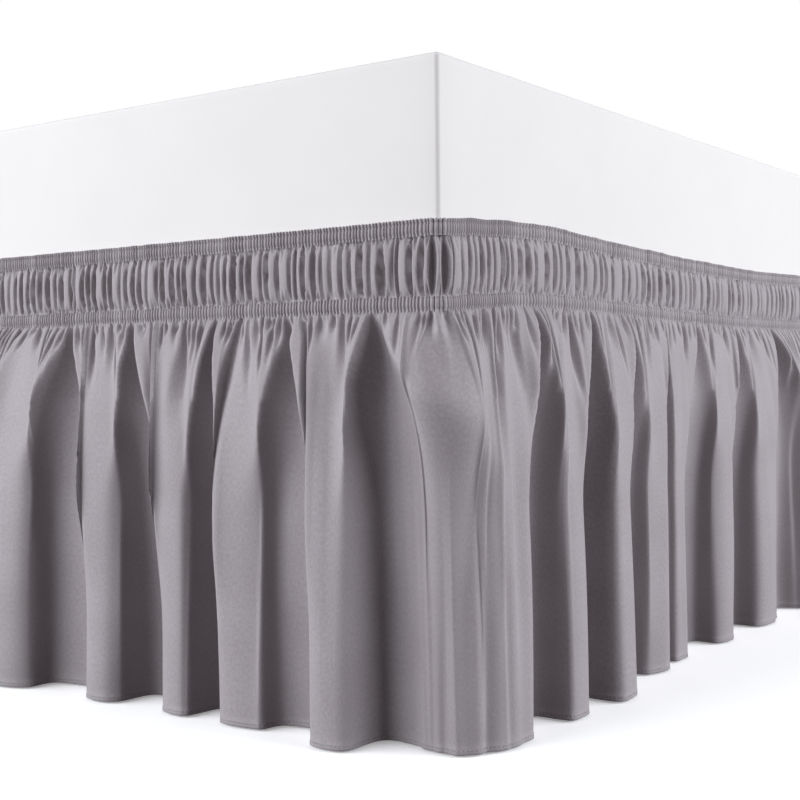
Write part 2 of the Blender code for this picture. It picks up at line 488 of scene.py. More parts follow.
@dataclass(frozen=True)
class PlanedPine:
    """Planed pine with a clear matt finish: pale yellow earlywood between thin brown latewood rings."""

    name: str = "planed_pine"
    early: str = "#d9b889"
    late: str = "#b98c58"
    ring_mm: float = 7.0
    stretch: float = 0.06
    roughness: float = 0.55
    bump: float = 0.2
    bump_mm: float = 0.3

    def build(self, along: int) -> bpy.types.Material:
        """Builds the material.

        Args:
            along: The number of the axis that the grain follows.

        Returns:
            The finished material.
        """
        material, tree, shader = new_material(f"{self.name}_{'xyz'[along]}")
        place = add_node(tree, "ShaderNodeTexCoord")
        scale = [1.0, 1.0, 1.0]
        scale[along] = self.stretch
        drawn = add_node(
            tree, "ShaderNodeMapping", inputs={"Vector": place.outputs["Object"], "Scale": scale}
        )
        rings = add_node(
            tree,
            "ShaderNodeTexWave",
            {"wave_type": "RINGS", "rings_direction": "XYZ"[along]},
            {
                "Vector": drawn.outputs["Vector"],
                "Scale": 1 / (self.ring_mm * MM) / WAVE_RADIANS * math.pi,
                "Distortion": 5.0,
                "Detail": 3.0,
                "Detail Scale": 1.5,
            },
        )
        colour = add_node(
            tree,
            "ShaderNodeMix",
            {"data_type": "RGBA"},
            {"Factor": rings.outputs["Fac"], "A": linear(self.early), "B": linear(self.late)},
        )
        tree.links.new(colour.outputs["Result"], shader.inputs["Base Color"])
        bump = add_node(
            tree,
            "ShaderNodeBump",
            inputs={"Height": rings.outputs["Fac"], "Strength": self.bump, "Distance": self.bump_mm * MM},
        )
        tree.links.new(bump.outputs["Normal"], shader.inputs["Normal"])
        shader.inputs["Roughness"].default_value = self.roughness
        return material


@dataclass(frozen=True)
class StudioPaper:
    """Translucent white paper under the bed, lit a little from below: pale, no gloss, thin shadows."""

    name: str = "studio_paper"
    colour: str = "#fbfbfc"
    glow: float = 0.3
    tooth_mm: float = 2.5
    roughness: float = 0.9

    def build(self) -> bpy.types.Material:
        """Builds the material.

        Returns:
            The finished material.
        """
        material, tree, shader = new_material(self.name)
        place = add_node(tree, "ShaderNodeTexCoord")
        tooth = add_node(
            tree,
            "ShaderNodeTexNoise",
            inputs={"Vector": place.outputs["Object"], "Scale": 1 / (self.tooth_mm * MM)},
        )
        bump = add_node(
            tree, "ShaderNodeBump", inputs={"Height": tooth.outputs["Fac"], "Strength": 0.05}
        )
        tree.links.new(bump.outputs["Normal"], shader.inputs["Normal"])
        shader.inputs["Base Color"].default_value = linear(self.colour)
        shader.inputs["Emission Color"].default_value = linear(self.colour)
        shader.inputs["Emission Strength"].default_value = self.glow
        shader.inputs["Roughness"].default_value = self.roughness
        return material


@dataclass
class PhotoCamera:
    """The camera at the photograph's angle, low and close to the studied corner."""

    lens_mm: float = 59.45
    sensor_mm: float = 36.0
    back: float = 0.938
    aside: float = 0.635
    height: float = 0.324
    turn_deg: float = 35.85
    down_deg: float = 1.12
    roll_deg: float = -0.56

    def build(self) -> bpy.types.Object:
        """Builds the camera and makes it the scene's.

        Returns:
            The camera.
        """
        data = bpy.data.cameras.new("photo_camera")
        data.lens = self.lens_mm
        data.sensor_width = self.sensor_mm
        data.clip_start = 0.01
        camera = add_object("photo_camera", data)
        low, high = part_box("mattress")
        corner = Vector((high[0], low[1], 0.0))
        camera.location = corner + Vector((self.aside, -self.back, self.height))
        tip = Matrix.Rotation(math.radians(90 - self.down_deg), 4, "X")
        turn = Matrix.Rotation(math.radians(self.turn_deg), 4, "Z")
        roll = Matrix.Rotation(math.radians(self.roll_deg), 4, "Z")
        camera.rotation_euler = (turn @ tip @ roll).to_euler()
        bpy.context.scene.camera = camera
        return camera


@dataclass(frozen=True)
class Softbox:
    """A broad soft light aimed at the studied corner: turned 0 before the foot end, 90 on the +X side."""

    name: str
    turn_deg: float
    power: float
    tint: tuple[float, float, float] = (0.93, 0.965, 1.0)
    width: float = 2.7
    height: float = 2.2
    distance: float = 4.6
    raised: float = 1.5
    aim_height: float = 0.25

    def build(self) -> None:
        """Hangs the light so that it faces the bed."""
        data = bpy.data.lights.new(self.name, "AREA")
        data.shape = "RECTANGLE"
        data.size = self.width
        data.size_y = self.height
        data.energy = self.power
        data.color = self.tint
        light = add_object(self.name, data)
        turn = math.radians(self.turn_deg)
        away = Vector((math.sin(turn), -math.cos(turn), 0.0))
        low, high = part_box("mattress")
        corner = Vector((high[0], low[1], self.aim_height))
        light.location = corner + away * self.distance + Vector((0.0, 0.0, self.raised))
        light.rotation_euler = (corner - light.location).to_track_quat("-Z", "Y").to_euler()
        light.visible_camera = False


@dataclass
class Studio:
    """White surroundings, a pale floor and large soft lights: two each side of the corner, two behind."""

    lights: tuple[Softbox, ...] = (
        Softbox("left_front_softbox", turn_deg=-24.0, power=194.0),
        Softbox("left_side_softbox", turn_deg=-55.0, power=168.0),
        Softbox("right_front_softbox", turn_deg=100.0, power=180.0),
        Softbox("right_side_softbox", turn_deg=132.0, power=156.0),
        Softbox("back_head_softbox", turn_deg=198.0, power=130.0, distance=6.4, raised=2.0),
        Softbox("back_side_softbox", turn_deg=252.0, power=110.0, distance=6.4, raised=2.0),
    )
    surround: float = 0.06
    surround_colour: str = "#f6dfe4"
    floor_size: float = 8.0

    def build(self) -> None:
        """Builds the surroundings, the lights and the floor."""
        bpy.context.scene.view_settings.view_transform = "Standard"
        self.build_surroundings()
        for light in self.lights:
            light.build()
        self.build_floor()

    def build_surroundings(self) -> None:
        """Makes the world white to look at and dim as a light."""
        world = bpy.data.worlds.new("white_room")
        world.use_nodes = True
        tree = world.node_tree
        tree.nodes.clear()
        path = add_node(tree, "ShaderNodeLightPath")
        dim = add_node(
            tree,
            "ShaderNodeBackground",
            inputs={"Color": linear(self.surround_colour), "Strength": self.surround},
        )
        bright = add_node(
            tree, "ShaderNodeBackground", inputs={"Color": (1.0, 1.0, 1.0, 1.0), "Strength": 1.0}
        )
        mix = add_node(
            tree,
            "ShaderNodeMixShader",
            inputs={0: path.outputs["Is Camera Ray"], 1: dim.outputs[0], 2: bright.outputs[0]},
        )
        add_node(tree, "ShaderNodeOutputWorld", inputs={"Surface": mix.outputs[0]})
        bpy.context.scene.world = world

    def build_floor(self) -> None:
        """Lays the paper floor."""
        bpy.ops.mesh.primitive_grid_add(x_subdivisions=8, y_subdivisions=8, size=self.floor_size)
        floor = bpy.context.active_object
        floor.name = "studio_floor"
        floor.data.materials.append(StudioPaper().build())
        floor.visible_diffuse = False


@dataclass(frozen=True)
class Girth:
    """The mattress's outline, walked anticlockwise from the studied corner."""

    width: float
    length: float
    corner: float = 5 * MM

    @property
    def arc(self) -> float:
        """Length of the outline round one corner."""
        return self.corner * math.pi / 2

    @property
    def sides(self) -> list[float]:
        """Lengths of the straight stretches, in walking order."""
        return [self.length - 2 * self.corner, self.width - 2 * self.corner] * 2

    @property
    def total(self) -> float:
        """Length of the whole outline."""
        return sum(self.sides) + 4 * self.arc

    def corner_places(self) -> list[float]:
        """The place of the middle of each corner."""
        places = [0.0]
        for side in self.sides[:-1]:
            places.append(places[-1] + side + self.arc)
        return places

    def fanned(self, value: np.ndarray, stand: float, back: bool = False) -> np.ndarray:
        """Turns places into distances along an outline that stands off the mattress, or turns them back.

        Args:
            value: Places, or distances when turning back.
            stand: How far the outline stands off, which makes its corners longer.
            back: True to turn distances back into places.

        Returns:
            The distances or the places.
        """
        longer = stand * math.pi / 2
        laps = [lap * self.total for lap in range(-2, 3)]
        corners = np.sort([corner + lap for corner in self.corner_places() for lap in laps])
        near = np.stack([corners - self.arc / 2, corners + self.arc / 2], axis=1).ravel()
        count = np.arange(len(corners)) - np.searchsorted(corners, 0.0)
        far = near + np.stack([count - 0.5, count + 0.5], axis=1).ravel() * longer
        return np.interp(value, far, near) if back else np.interp(value, near, far)

    def walk(self, place: np.ndarray) -> tuple[np.ndarray, np.ndarray]:
        """Finds points of the outline.

        Args:
            place: Distances round the mattress.

        Returns:
            The points, and the outward direction at each.
        """
        half_x = self.width / 2 - self.corner
        half_y = self.length / 2 - self.corner
        centres = [(half_x, -half_y), (half_x, half_y), (-half_x, half_y), (-half_x, -half_y)]
        left = np.mod(place + self.arc / 2, self.total)
        angle = np.zeros_like(left)
        along = np.zeros_like(left)
        centre = np.zeros((*left.shape, 2))
        start = 0.0
        for turn, side in enumerate(self.sides):
            here = (left >= start) & (left <= start + self.arc + side)
            gone = left[here] - start
            angle[here] = (turn - 1 + np.clip(gone / self.arc, 0, 1)) * math.pi / 2
            along[here] = np.clip(gone - self.arc, 0, side)
            centre[here] = centres[turn]
            start += self.arc + side
        outward = np.stack([np.cos(angle), np.sin(angle)], axis=-1)
        tangent = np.stack([-outward[..., 1], outward[..., 0]], axis=-1)
        return centre + self.corner * outward + along[..., None] * tangent, outward


@dataclass
class FoldPlan:
    """Every deep fold round the bed: the listed ones, then even unevenness on the sides that don't show."""

    girth: Girth
    pitch: float = 116 * MM
    crest: float = 52 * MM
    crest_spread: float = 8 * MM
    valley_spread: float = 9 * MM
    pitch_spread: float = 0.14
    crest_share: float = 0.48
    top_spread: float = 0.2
    steepness: float = 0.76
    steepness_spread: float = 0.20
    turn: float = math.radians(137.5)
    valley_before_corner: float = 20 * MM
    stand: float = 18 * MM
    top: np.ndarray = field(init=False)
    hem: np.ndarray = field(init=False)
    out: np.ndarray = field(init=False)
    steep: np.ndarray = field(init=False)

    def __post_init__(self) -> None:
        """Works out the stations, a crest and a valley by turns, over three rounds of the bed."""
        folds = self.all_folds()
        hem, out, steep, top = [], [], [], []
        for i, fold in enumerate(folds):
            before = folds[i - 1]
            shift = self.girth.total if i == 0 else 0.0
            start = (before.valley_at - shift, before.valley_out)
            up = math.dist(start, (fold.crest_at, fold.crest_out))
            down = math.dist((fold.crest_at, fold.crest_out), (fold.valley_at, fold.valley_out))
            top_start = before.valley_top - shift
            crest_top = top_start + (fold.valley_top - top_start) * up / (up + down)
            hem += [fold.crest_at, fold.valley_at]
            out += [fold.crest_out, fold.valley_out]
            steep += [fold.fall, folds[(i + 1) % len(folds)].rise]
            top += [crest_top if fold.crest_top is None else fold.crest_top, fold.valley_top]
        rounds = [-self.girth.total, 0.0, self.girth.total]
        self.top = np.concatenate([np.array(top) + shift for shift in rounds])
        self.hem = np.concatenate([np.array(hem) + shift for shift in rounds])
        self.out = np.tile(out, 3)
        self.steep = np.tile(steep, 3)

    def all_folds(self) -> list[Fold]:
        """Every fold in order, in metres."""
        folds = [fold.in_metres() for fold in FOLDS_MM]
        end = folds[0].crest_at + self.girth.total - 0.5 * self.pitch
        stops = [place - self.valley_before_corner for place in self.girth.corner_places()[1:]]
        start = folds[-1].valley_at
        for stop in [*stops, end]:
            folds += self.filled(start, stop, len(folds))
            start = stop
        return folds

    def filled(self, start: float, stop: float, turn_from: int) -> list[Fold]:
        """Folds between two valleys, on a side that the table doesn't list, with no two alike.

        Args:
            start: Place of the valley before the first.
            stop: Place of the last one's valley.
            turn_from: Where the unevenness has got to.

        Returns:
            The folds in order.
        """
        count = max(1, round((stop - start) / self.pitch))
        pitch = (stop - start) / count
        folds = []
        for i in range(count):
            turn = self.turn * (turn_from + i)
            valley = start + pitch * (i + 1 + self.pitch_spread * math.sin(turn + 1))
            if i == count - 1:
                valley = stop
            folds.append(
                Fold(
                    crest_at=start + pitch * (i + self.crest_share + self.pitch_spread * math.sin(turn)),
                    crest_out=self.crest + self.crest_spread * math.cos(turn),
                    valley_at=valley,
                    valley_out=self.valley_spread * math.sin(1.7 * turn),
                    valley_top=valley + self.top_spread * self.pitch * math.sin(2.9 * turn),
                    rise=self.steepness + self.steepness_spread * math.cos(2.3 * turn),
                    fall=self.steepness + self.steepness_spread * math.cos(3.1 * turn),
                )
            )
        return folds

    def valley_near(self, place: float) -> float:
        """The place at the elastic of the valley nearest to a place."""
        valleys = self.top[1::2]
        return float(valleys[np.argmin(np.abs(valleys - place))])

    def flank(self, place: np.ndarray) -> dict[str, np.ndarray]:
        """Where each column of cloth lies on its fold.

        Args:
            place: The columns' places at the elastic.

        Returns:
            hem: the columns' places at the hem; climb: 0 in the valley to 1 on the crest; crest and
            valley: how far out those two are; number: the station before each column.
        """
        i = np.clip(np.searchsorted(self.top, place, side="right") - 1, 0, len(self.top) - 2)
        t = (place - self.top[i]) / (self.top[i + 1] - self.top[i])
        from_crest = i % 2 == 0
        steep = self.steep[i]
        along = 3 * steep * t * (1 - t) ** 2 + 3 * (1 - steep) * t**2 * (1 - t) + t**3
        run = self.girth.fanned(self.hem, self.stand)
        return {
            "hem": self.girth.fanned(run[i] + along * (run[i + 1] - run[i]), self.stand, back=True),
            "climb": np.where(from_crest, 1 - t, t),
            "crest": np.where(from_crest, self.out[i], self.out[i + 1]),
            "valley": np.where(from_crest, self.out[i + 1], self.out[i]),
            "number": i,
        }


@dataclass
class Strip:
    """A strip of cloth: rings of points and their cloth places.

    A ring has as many steps along it as the one before, or half or twice as many.
    """

    points: list[np.ndarray]
    places: list[np.ndarray]

    def build(self, name: str) -> bpy.types.Object:
        """Joins the rings with faces.

        Args:
            name: The new object's name.

        Returns:
            The new object, with its cloth places as UVs in metres.
        """
        starts = np.cumsum([0] + [len(ring) for ring in self.points])
        faces: list[list[int]] = []
        for row, (upper, lower) in enumerate(zip(self.points, self.points[1:])):
            a = starts[row] + np.arange(len(upper))
            b = starts[row + 1] + np.arange(len(lower))
            if len(upper) == len(lower):
                corners = [(a[:-1], b[:-1], b[1:], a[1:])]
            elif len(upper) > len(lower):
                corners = [
                    (a[:-2:2], b[:-1], a[1:-1:2]),
                    (a[1:-1:2], b[:-1], b[1:]),
                    (a[1:-1:2], b[1:], a[2::2]),
                ]
            else:
                corners = [
                    (b[:-2:2], b[1:-1:2], a[:-1]),
                    (b[1:-1:2], a[1:], a[:-1]),
                    (b[1:-1:2], b[2::2], a[1:]),
                ]
            for face in corners:
                faces += np.stack(face, axis=1).tolist()
        mesh = bpy.data.meshes.new(name)
        mesh.from_pydata(np.concatenate(self.points).tolist(), [], faces)
        mesh.validate()
        uv = np.concatenate(self.places)
        vertices = np.empty(len(mesh.loops), dtype=np.int64)
        mesh.loops.foreach_get("vertex_index", vertices)
        layer = mesh.uv_layers.new(name="cloth")
        layer.data.foreach_set("uv", uv[vertices].astype(np.float32).ravel())
        mesh.shade_smooth()
        return add_object(name, mesh)


@dataclass
class ClothRound:
    """What all the skirt's cloth shares: its sizes, the bed's outline and folds, and its columns."""

    heading_height: float = 76 * MM
    drop_height: float = 381 * MM
    top_band_height: float = 14 * MM
    lower_band_height: float = 12 * MM
    stand: float = 6.0 * MM
    rib_pitch: float = 3.7 * MM
    rib_height: float = 1.3 * MM
    rib_stray: float = 0.2
    rib_patch: float = 9 * MM
    joint_fade: float = 3.5 * MM
    drawn_from: float = 0.12
    drawn_to: float = 1.85
    drawn_out: float = 1.5
    fullness: float = 1.5
    least_out: float = 0.3 * MM
    columns_per_rib: int = 6
    columns_per_drawn_rib: int = 8
    finer_at_corners: int = 3
    cut_past_corner: float = 50 * MM
    seed: int = 11
    girth: Girth = field(init=False)
    plan: FoldPlan = field(init=False)
    start: float = field(init=False)
    columns: np.ndarray = field(init=False)

    def __post_init__(self) -> None:
        """Takes the mattress's outline from the frame and places the columns."""
        low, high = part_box("mattress")
        self.girth = Girth(width=high[0] - low[0], length=high[1] - low[1])
        self.plan = FoldPlan(self.girth)
        self.start = self.valley_past(self.girth.corner_places()[3] - self.girth.total)
        self.columns = self.place_columns()

    @property
    def stop(self) -> float:
        """The place where the round ends, at its own start."""
        return self.start + self.girth.total

    def valley_past(self, corner: float) -> float:
        """The place of the deep valley just past a corner, where a cut in the cloth doesn't show."""
        return self.plan.valley_near(corner + self.cut_past_corner)

    def place_columns(self) -> np.ndarray:
        """Places of the finest columns, once round: each rib gets the same few, and corners get more."""
        grooves = self.rib_places()
        middles = (grooves[:-1] + grooves[1:]) / 2
        corners = np.array(self.girth.corner_places()) % self.girth.total
        apart = np.abs((middles % self.girth.total)[:, None] - corners)
        apart = np.minimum(apart, self.girth.total - apart).min(axis=1)
        drawn = (middles > self.drawn_from) & (middles < self.drawn_to)
        counts = np.where(drawn, self.columns_per_drawn_rib, self.columns_per_rib)
        finer = self.finer_at_corners * self.columns_per_rib
        counts = np.where(apart < self.girth.arc / 2 + self.rib_pitch, finer, counts)
        # Coarser rings keep every second or fourth column, so the number of columns divides by four.
        counts[-1] += -counts.sum() % 4
        ends = zip(grooves, grooves[1:], counts)
        runs = [np.linspace(a, b, count, endpoint=False) for a, b, count in ends]
        return np.concatenate([*runs, [grooves[-1]]])

    def drawn(self, run: np.ndarray, back: bool = False) -> np.ndarray:
        """Shortens distances by as much as the +X side is drawn out more than the rest, or turns them back.

        Args:
            run: Distances round the bed.
            back: True to turn them back.

        Returns:
            The distances.
        """
        far_end = 9.0
        near = np.array([-far_end, self.drawn_from, self.drawn_to, far_end])
        shares = np.array([1.0, 1 / self.drawn_out, 1.0])
        far = near[0] + np.concatenate([[0.0], np.cumsum(np.diff(near) * shares)])
        return np.interp(run, far, near) if back else np.interp(run, near, far)

    def spread(self, pitch: float, stand: float, stray: float, offset: float, seed: int) -> np.ndarray:
        """Places at an uneven pitch, once round the bed.

        Args:
            pitch: The usual distance between them.
            stand: How far out the pitch is measured, which draws the places together at corners.
            stray: How far each strays, as a share of the pitch.
            offset: Where in its share of the round each would be without straying.
            seed: The seed of the straying.

        Returns:
            The places.
        """
        first, last = self.drawn(self.girth.fanned(np.array([self.start, self.stop]), stand))
        count = round((last - first) / pitch)
        strays = np.random.default_rng(self.seed + seed).uniform(-stray, stray, count)
        run = first + (np.arange(count) + offset + strays) * (last - first) / count
        return self.girth.fanned(self.drawn(run, back=True), stand, back=True)

    def rib_places(self) -> np.ndarray:
        """Places of the grooves between the shirring's ribs, from the round's start to its end."""
        places = self.spread(self.rib_pitch, self.stand, self.rib_stray, offset=0.0, seed=1)
        places[0] = self.start
        return np.append(places, self.stop)

    def uneven(self, pitch: float, stray: float, seed: int, stand: float = 0.0) -> np.ndarray:
        """Places at an uneven pitch, with one more at each end past the round.

        Args:
            pitch: The usual distance between them.
            stray: How far each strays, as a share of the pitch.
            seed: The seed of the straying.
            stand: How far out the pitch is measured.

        Returns:
            The places.
        """
        places = self.spread(pitch, stand, stray, offset=0.5, seed=seed)
        around = self.stop - self.start
        return np.concatenate([[places[-1] - around], places, [places[0] + around]])

    def patches(self, place: np.ndarray) -> np.ndarray:
        """A smooth uneven value along the bed, from 0 where the ribs are low to 1 where they are high.

        Args:
            place: Distances round the mattress.

        Returns:
            The value at each place.
        """
        around = self.stop - self.start
        count = round(around / self.rib_patch)
        values = np.random.default_rng(self.seed + 2).uniform(0, 1, count)
        at = (place - self.start) / around * count
        i = np.floor(at).astype(int)
        t = smooth(at - i)
        return values[i % count] * (1 - t) + values[(i + 1) % count] * t

    def relief(self, place: np.ndarray) -> np.ndarray:
        """How far the round ribs stand out and their narrow grooves sink, some stretches deeper."""
        grooves = self.rib_places()
        phase = np.interp(place, grooves, np.arange(len(grooves)))
        ribs = 2 * np.abs(np.sin(math.pi * phase)) ** 0.5 - 1
        return ribs * self.rib_height * (0.65 + 0.7 * self.patches(place))

    def joint_relief(self, place: np.ndarray, far: np.ndarray | float) -> np.ndarray:
        """The ribs' relief as it fades away from a band.

        Args:
            place: Distances round the mattress.
            far: Distances from the band.

        Returns:
            The relief at each place.
        """
        return JOINT_RIBS * self.relief(place) * np.exp(-((far / self.joint_fade) ** 2))

    def rise(self, place: np.ndarray, top: bool) -> np.ndarray:
        """How far the cloth rides up.

        Args:
            place: Distances round the mattress.
            top: True at the top of the skirt, False at the lower elastic.

        Returns:
            The rise at each place.
        """
        at = np.array([wave.at for wave in WAVES_MM]) * MM
        rises = np.array([wave.top if top else wave.lower for wave in WAVES_MM]) * MM
        wrapped = np.mod(place + self.girth.total / 2, self.girth.total) - self.girth.total / 2
        i = np.clip(np.searchsorted(at, wrapped) - 1, 0, len(at) - 2)
        t = smooth((wrapped - at[i]) / (at[i + 1] - at[i]))
        return rises[i] + (rises[i + 1] - rises[i]) * t

    def top_edge(self, place: np.ndarray) -> np.ndarray:
        """Height of the skirt's top."""
        return self.drop_height + self.heading_height + self.rise(place, top=True)

    def lower_edge(self, place: np.ndarray) -> np.ndarray:
        """Height of the lower band's bottom, where the drop starts."""
        return self.drop_height + self.rise(place, top=False)

    def on_wall(self, place: np.ndarray, out: np.ndarray, height: np.ndarray) -> np.ndarray:
        """Points a distance out from the mattress.

        Args:
            place: Distances round the mattress.
            out: Distances out from it.
            height: Heights above the floor.

        Returns:
            The points.
        """
        base, outward = self.girth.walk(place)
        return np.concatenate([base + out[..., None] * outward, height[..., None]], axis=-1)

    def cloth_places(self, place: np.ndarray, height: np.ndarray) -> np.ndarray:
        """Where the points lie on the flat cloth."""
        return np.stack([np.broadcast_to(place * self.fullness, height.shape), height], axis=-1)

    def halves(self, whole: Strip) -> dict[str, Strip]:
        """Cuts a round of cloth in two, where deep valleys of the drop hide the cuts.

        Args:
            whole: The round of cloth.

        Returns:
            The two lengths by name.
        """
        coarse = self.columns[::4]
        cut = int(np.argmin(np.abs(coarse - self.valley_past(self.girth.corner_places()[1]))))
        finer = [(len(ring) - 1) // (len(coarse) - 1) for ring in whole.points]
        strips = {}
        for name, (a, b) in {"front": (0, cut), "back": (cut, len(coarse) - 1)}.items():
            strips[name] = Strip(
                [ring[a * k : b * k + 1] for ring, k in zip(whole.points, finer)],
                [ring[a * k : b * k + 1] for ring, k in zip(whole.places, finer)],
            )
        return strips


@dataclass
class ShirredBands(ClothRound):
    """The two bands, each an elastic in its channel between two lines of stitching."""

    def build_top(self) -> Strip:
        """The top band: a small ruffle on the folded edge, then the elastic."""
        rows_mm = [
            BandRow(2.5, -4.6, 0.0),
            BandRow(1.0, -2.2, 0.5, 0.3),
            BandRow(0.0, -0.4, 0.9, 0.7),
            BandRow(0.5, 0.5, 1.0, 0.6),
            BandRow(2.4, 0.6, 1.0),
            BandRow(3.4, -0.3, 0.7),
            BandRow(4.6, 0.5, 1.0),
            BandRow(11.2, 0.5, 1.0),
            BandRow(12.4, -0.2, 0.8),
            BandRow(14.0, JOINT_OUT_MM, JOINT_RIBS),
        ]
        return self.build_band(rows_mm, self.top_edge(self.columns))

    def build_lower(self) -> Strip:
        """The lower band."""
        rows_mm = [
            BandRow(0.0, JOINT_OUT_MM, JOINT_RIBS),
            BandRow(1.6, -0.2, 0.8),
            BandRow(2.8, 0.5, 1.0),
            BandRow(9.2, 0.5, 1.0),
            BandRow(10.4, -0.2, 0.8),
            BandRow(12.0, JOINT_OUT_MM, JOINT_RIBS),
        ]
        return self.build_band(rows_mm, self.lower_edge(self.columns) + self.lower_band_height)

    def build_band(self, rows_mm: Sequence[BandRow], edge: np.ndarray) -> Strip:
        """Builds a band.

        Args:
            rows_mm: Its rows from the top down, in millimetres.
            edge: Height of its top at each column.

        Returns:
            The band's cloth.
        """
        relief = self.relief(self.columns)
        points, places = [], []
        for row in rows_mm:
            out = self.stand + row.out * MM + row.ribs * relief
            z = edge - row.below * MM + row.scallop * relief
            points.append(self.on_wall(self.columns, out, z))
            places.append(self.cloth_places(self.columns, z))
        return Strip(points, places)


class Gathers(NamedTuple):
    """The heading's valleys: where each is, its shape, and how high the ridge beside it puffs out."""

    at: np.ndarray
    depth: np.ndarray
    half_width: np.ndarray
    flank: np.ndarray
    lean: np.ndarray
    drift: np.ndarray
    bow: np.ndarray
    puff: np.ndarray


@dataclass
class Heading(ClothRound):
    """The heading: upright gathers that puff out between the two bands, with deep narrow valleys."""

    rows: int = 21
    rows_drawn_to_bands: float = 0.07
    gather_pitch: float = 10.8 * MM
    gather_stray: float = 0.3
    gather_stand: float = 7 * MM
    gather_puff: float = 2.2 * MM
    gather_slip: float = 0.08
    crown: float = 1.6 * MM
    shallow_share: float = 0.16
    wide_share: float = 0.28
    slanted_share: float = 0.4
    valley_floor: float = 0.4 * MM
    notch_pitch: float = 5.8 * MM
    notch_depth: float = 4.2 * MM
    notch_width: float = 0.42

    def draw_gathers(self) -> Gathers:
        """Draws the valleys: some shallow, some wide, some that widen towards one band."""
        rng = np.random.default_rng(self.seed + 3)
        at = self.uneven(self.gather_pitch, self.gather_stray, seed=4, stand=self.gather_stand)
        count = len(at)
        gap = np.diff(at)
        gap = np.minimum(np.append(gap, gap[-1]), np.insert(gap, 0, gap[0]))
        flank = rng.uniform(0.9, 1.5, count) * MM
        kind = rng.uniform(size=count)
        shallow, wide = kind < self.shallow_share, kind > 1 - self.wide_share
        depth = np.where(shallow, rng.uniform(0.3, 0.6, count), rng.uniform(0.85, 1.1, count))
        share = np.where(wide, rng.uniform(0.22, 0.30, count), rng.uniform(0.08, 0.20, count))
        half = np.minimum(np.where(shallow, 0.06, share) * gap, 0.5 * gap - 1.1 * flank)
        slanted = rng.uniform(size=count) < self.slanted_share
        lean = np.where(slanted, rng.uniform(-0.6, 0.6, count), 0.0)
        drift, bow = rng.uniform(-self.gather_slip, self.gather_slip, (2, count)) * self.gather_pitch
        puff = rng.uniform(0.4, 1.4, count) * self.gather_puff
        return Gathers(at, depth, np.maximum(half, 0.3 * MM), flank, lean, drift, bow, puff)

    def build(self) -> Strip:
        """Builds the heading.

        Returns:
            The heading's cloth.
        """
        down = np.linspace(0.0, 1.0, self.rows)
        down = down - self.rows_drawn_to_bands * np.sin(2 * math.pi * down)
        gathers = self.draw_gathers()
        points, places = [], []
        for row, t in enumerate(down):
            place = self.columns if row in (0, self.rows - 1) else self.columns[::2]
            top = self.top_edge(place) - self.top_band_height
            bottom = self.lower_edge(place) + self.lower_band_height
            z = top + (bottom - top) * t
            points.append(self.on_wall(place, self.row_out(place, t, gathers), z))
            places.append(self.cloth_places(place, z))
        return Strip(points, places)

    def row_out(self, place: np.ndarray, t: float, gathers: Gathers) -> np.ndarray:
        """How far out one row of the heading is.

        Args:
            place: The columns' places.
            t: How far down the heading the row is, from 0 to 1.
            gathers: The valleys.

        Returns:
            The distance out at each column.
        """
        bulge, slant = math.sin(math.pi * t), math.cos(math.pi * t)
        at = np.sort(gathers.at + gathers.drift * slant * bulge + gathers.bow * bulge)
        i = np.clip(np.searchsorted(at, place) - 1, 0, len(at) - 2)
        across = (place - at[i]) / (at[i + 1] - at[i])
        near = np.where(across < 0.5, i, i + 1)
        half = gathers.half_width * bulge**0.7 * (1 + gathers.lean * slant)
        ridge = smooth((np.abs(place - at[near]) - half[near]) / gathers.flank[near])
        crown = self.crown * (1 - (2 * across - 1) ** 2)
        puff = gathers.puff[i] * (1 - across) + gathers.puff[i + 1] * across + crown
        crest = self.stand + puff * bulge**0.6
        sunk = np.clip(gathers.depth[near] * (1 + 0.3 * gathers.lean[near] * slant), 0, 1) * bulge**0.25
        valley = crest - (crest - self.valley_floor) * sunk
        out = valley + (crest - valley) * ridge + JOINT_OUT_MM * MM
        out += self.joint_relief(place, min(t, 1 - t) * self.heading_height)
        out -= self.notches(place, t) * (0.3 + 0.7 * ridge)
        return np.maximum(out, self.least_out)

    def notches(self, place: np.ndarray, t: float) -> np.ndarray:
        """Depth of the short V-shaped creases that run from each band into the heading.

        Args:
            place: The columns' places.
            t: How far down the heading the row is, from 0 to 1.

        Returns:
            The depth at each column.
        """
        creases = self.uneven(self.notch_pitch, 0.3, seed=6)
        rng = np.random.default_rng(self.seed + 7)
        i = np.clip(np.searchsorted(creases, place), 1, len(creases) - 1)
        near = np.where(place - creases[i - 1] < creases[i] - place, i - 1, i)
        apart = np.abs(place - creases[near])
        depth = np.zeros_like(place)
        for far in (t, 1 - t):
            reach = rng.uniform(0.1, 0.32, len(creases))[near]
            deep = rng.uniform(0.6, 1.2, len(creases))[near] * self.notch_depth
            left = np.clip(1 - far / reach, 0, 1)
            x = apart / (self.notch_width * self.notch_pitch * (0.35 + 0.65 * left))
            depth += deep * left * min(1.0, far / 0.03) * np.clip(1 - x, 0, 1)
        return depth


class HungCloth(NamedTuple):
    """The drop while it is shaped: its columns' places, its rows' distances below and how far out it is."""

    place: np.ndarray
    below: np.ndarray
    out: np.ndarray


